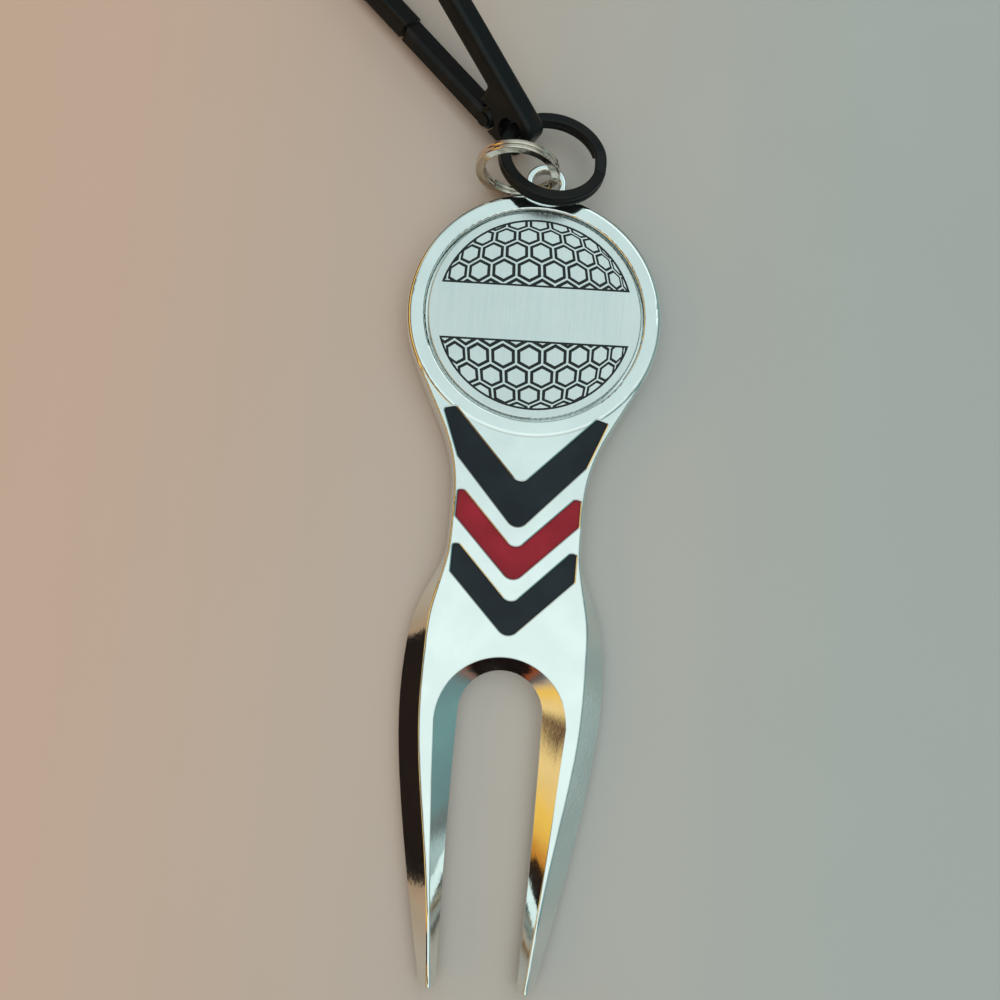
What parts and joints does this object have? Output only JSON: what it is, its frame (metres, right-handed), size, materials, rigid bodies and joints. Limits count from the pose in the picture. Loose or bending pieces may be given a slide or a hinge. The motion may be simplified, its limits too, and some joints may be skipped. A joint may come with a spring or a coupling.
{
  "type": "divot repair tool",
  "caption": "Two-prong golf divot repair tool with a lift-off magnetic ball marker, enamel chevrons in its neck, and a sprung hook on linked split rings.",
  "frame": {"origin": "on the flat back face, under the centre of the ball marker", "axes": "+Z out of the front face, +Y from the prongs to the key-ring lug, x = 0 is the tool's plane of symmetry"},
  "size_m": [0.0441, 0.1249, 0.0138],
  "materials": {
    "chrome_plate": "polished nickel-chrome plate on a zinc die casting",
    "marker_nickel": "satin nickel plate with a faint grain",
    "black_fill": "black antique fill in the sunk relief",
    "black_enamel": "glossy blue-black enamel",
    "red_enamel": "glossy crimson enamel",
    "magnet": "nickel-plated magnet",
    "nickel_wire": "polished nickel-plated spring wire",
    "black_wire": "satin black-coated spring wire",
    "black_hook": "satin black anodised aluminium",
    "small_steel": "plain steel"
  },
  "bodies": {
    "tool": {"tool_body": "chrome_plate", "marker_magnet": "magnet", "chevron_enamel_top": "black_enamel", "chevron_enamel_middle": "red_enamel", "chevron_enamel_bottom": "black_enamel"},
    "marker": {"ball_marker": "marker_nickel", "marker_enamel_upper": "black_fill", "marker_enamel_lower": "black_fill"},
    "nickel_ring": {"nickel_split_ring": "nickel_wire"},
    "black_ring": {"black_split_ring": "black_wire"},
    "hook": {"carabiner_frame": "black_hook", "gate_rivet": "small_steel"},
    "gate": {"carabiner_gate": "black_hook", "gate_plunger": "small_steel", "gate_spring": "small_steel"}
  },
  "joints": [
    {"name": "marker_lift", "type": "slide", "parent": "tool", "child": "marker", "axis": [0, 0, 1], "range_m": [0, 0.012]},
    {"name": "nickel_ring_swing", "type": "hinge", "parent": "tool", "child": "nickel_ring", "pos_m": [0, 0.0163, 0.003], "axis": [0, 0, 1], "range_deg": [-14, 6]},
    {"name": "black_ring_swing", "type": "hinge", "parent": "nickel_ring", "child": "black_ring", "pos_m": [0.00045, 0.019, 0.00465], "axis": [0, 0, 1], "range_deg": [-10, 8]},
    {"name": "hook_swing", "type": "hinge", "parent": "black_ring", "child": "hook", "pos_m": [-0.00404, 0.02278, 0.00388], "axis": [0.6157, 0.635, -0.4666], "range_deg": [0, 30]},
    {"name": "gate_open", "type": "hinge", "parent": "hook", "child": "gate", "pos_m": [-0.00721, 0.02474, 0.00237], "axis": [0.6157, 0.635, -0.4666], "range_deg": [0, 16], "stiffness_Nm_per_rad": 0.004, "springref_deg": -17.19}
  ]
}
